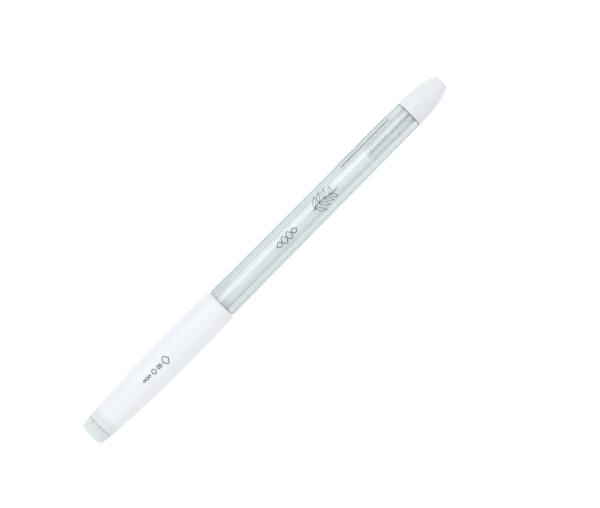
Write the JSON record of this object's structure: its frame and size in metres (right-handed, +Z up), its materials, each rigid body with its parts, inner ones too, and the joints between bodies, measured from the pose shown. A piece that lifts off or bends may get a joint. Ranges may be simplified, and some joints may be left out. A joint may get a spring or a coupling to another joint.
{
  "type": "capped stick gel pen",
  "caption": "Capped stick gel pen with a long white cap, clear barrel showing its ink refill, and a pointed white rear plug.",
  "frame": {"origin": "centre of the pen's bounding box, on the plane that the pen lies on", "axes": "+X along the pen from the cap's end to the rear plug, +Y across it, +Z up. The pen lies on its cap's belly and the rear of its barrel, so its own axis falls 0.60 degrees towards +X."},
  "size_m": [0.15, 0.0112, 0.0113],
  "materials": {
    "white_plastic": "satin moulded white, slightly translucent",
    "translucent_white_plastic": "satin moulded, milky translucent",
    "natural_plastic": "matte natural",
    "seal_rubber": "soft matte",
    "clear_plastic": "polished clear",
    "grip_rubber": "soft matte translucent white",
    "tube_plastic": "extruded translucent",
    "nickel_silver": "fine turned",
    "ball_metal": "polished",
    "spring_steel": "drawn wire",
    "white_ink": "opaque liquid white",
    "follower_grease": "clear grease",
    "float_plastic": "extruded translucent"
  },
  "bodies": {
    "pen": {"barrel": "clear_plastic", "nose_cone": "white_plastic", "grip_sleeve": "grip_rubber", "rear_plug": "white_plastic", "refill_tube": "tube_plastic", "nib_holder": "natural_plastic", "nib": "nickel_silver", "ball_spring": "spring_steel", "ink_column": "white_ink"},
    "cap": {"cap_shell": "white_plastic", "cap_end_plug": "translucent_white_plastic", "cap_liner": "natural_plastic", "nib_seal_pad": "seal_rubber"},
    "ball": {"writing_ball": "ball_metal"},
    "follower": {"ink_follower": "follower_grease", "follower_float": "float_plastic"}
  },
  "joints": [
    {"name": "cap_pull", "type": "slide", "parent": "pen", "child": "cap", "axis": [-0.9999, 0, 0.0105], "range_m": [0, 0.06]},
    {"name": "ball_roll", "type": "hinge", "parent": "pen", "child": "ball", "pos_m": [-0.06537, 0, 0.00597], "axis": [0, 1, 0], "continuous": true},
    {"name": "ink_feed", "type": "slide", "parent": "pen", "child": "follower", "axis": [-0.9999, 0, 0.0105], "range_m": [0, 0.085], "deforming": ["ink_column"]}
  ]
}
